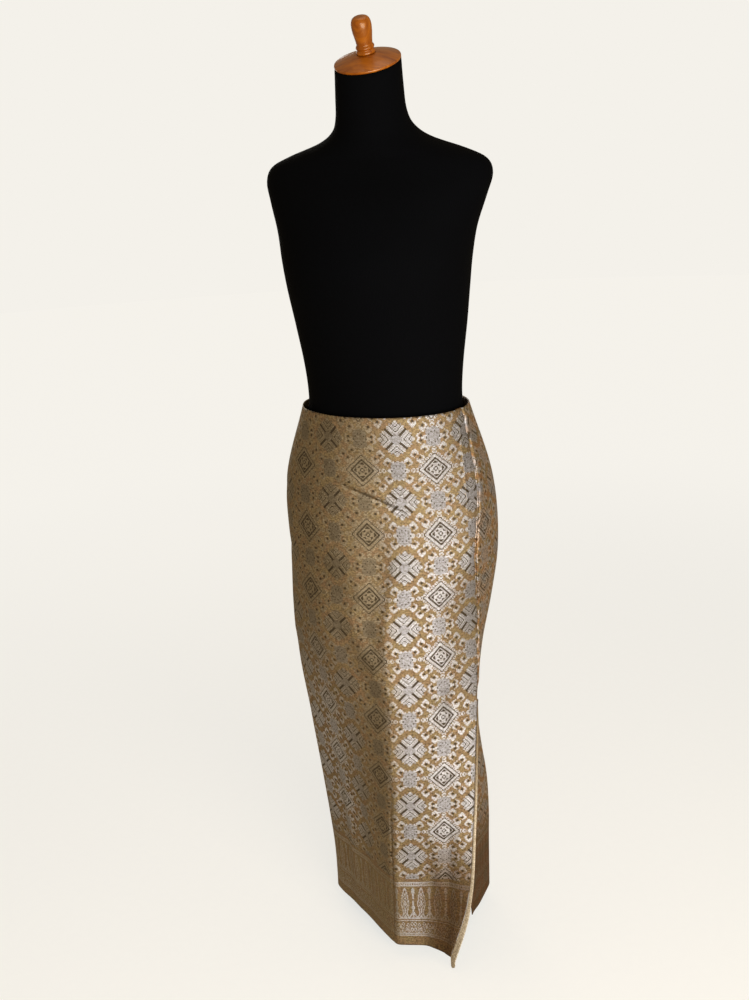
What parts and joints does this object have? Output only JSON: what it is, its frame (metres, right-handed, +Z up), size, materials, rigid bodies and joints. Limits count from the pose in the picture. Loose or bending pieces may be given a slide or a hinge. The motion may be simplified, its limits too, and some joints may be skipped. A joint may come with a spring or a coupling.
{
  "type": "songket skirt on dress form",
  "caption": "Long narrow songket skirt with a lapped side seam and a front slit, worn on a limbless black dress form with a turned wooden neck cap, on a pole and round foot.",
  "frame": {"origin": "on the floor, in the middle plane of the dress form and under the centre of its waist, on the foot's underside", "axes": "+Z is up, the wearer's front faces -Y, +X is the wearer's left, where the slit is"},
  "size_m": [0.3311, 0.3024, 1.4477],
  "materials": {
    "songket": "golden brown cloth with a pale gold supplementary weft, satin to metallic where it is lit",
    "songket_edge": "turned edge of the same cloth, paler and duller",
    "jersey": "matt black knitted cover, pulled smooth",
    "lacquered_wood": "turned wood under glossy golden brown lacquer",
    "stand_steel": "dark satin powder coat"
  },
  "bodies": {
    "root": {"skirt_front": "songket", "skirt_back": "songket", "slit_strip": "songket_edge", "form_torso": "jersey", "form_cap": "lacquered_wood", "form_knob": "lacquered_wood", "form_pole": "stand_steel", "form_foot": "stand_steel"}
  },
  "joints": []
}
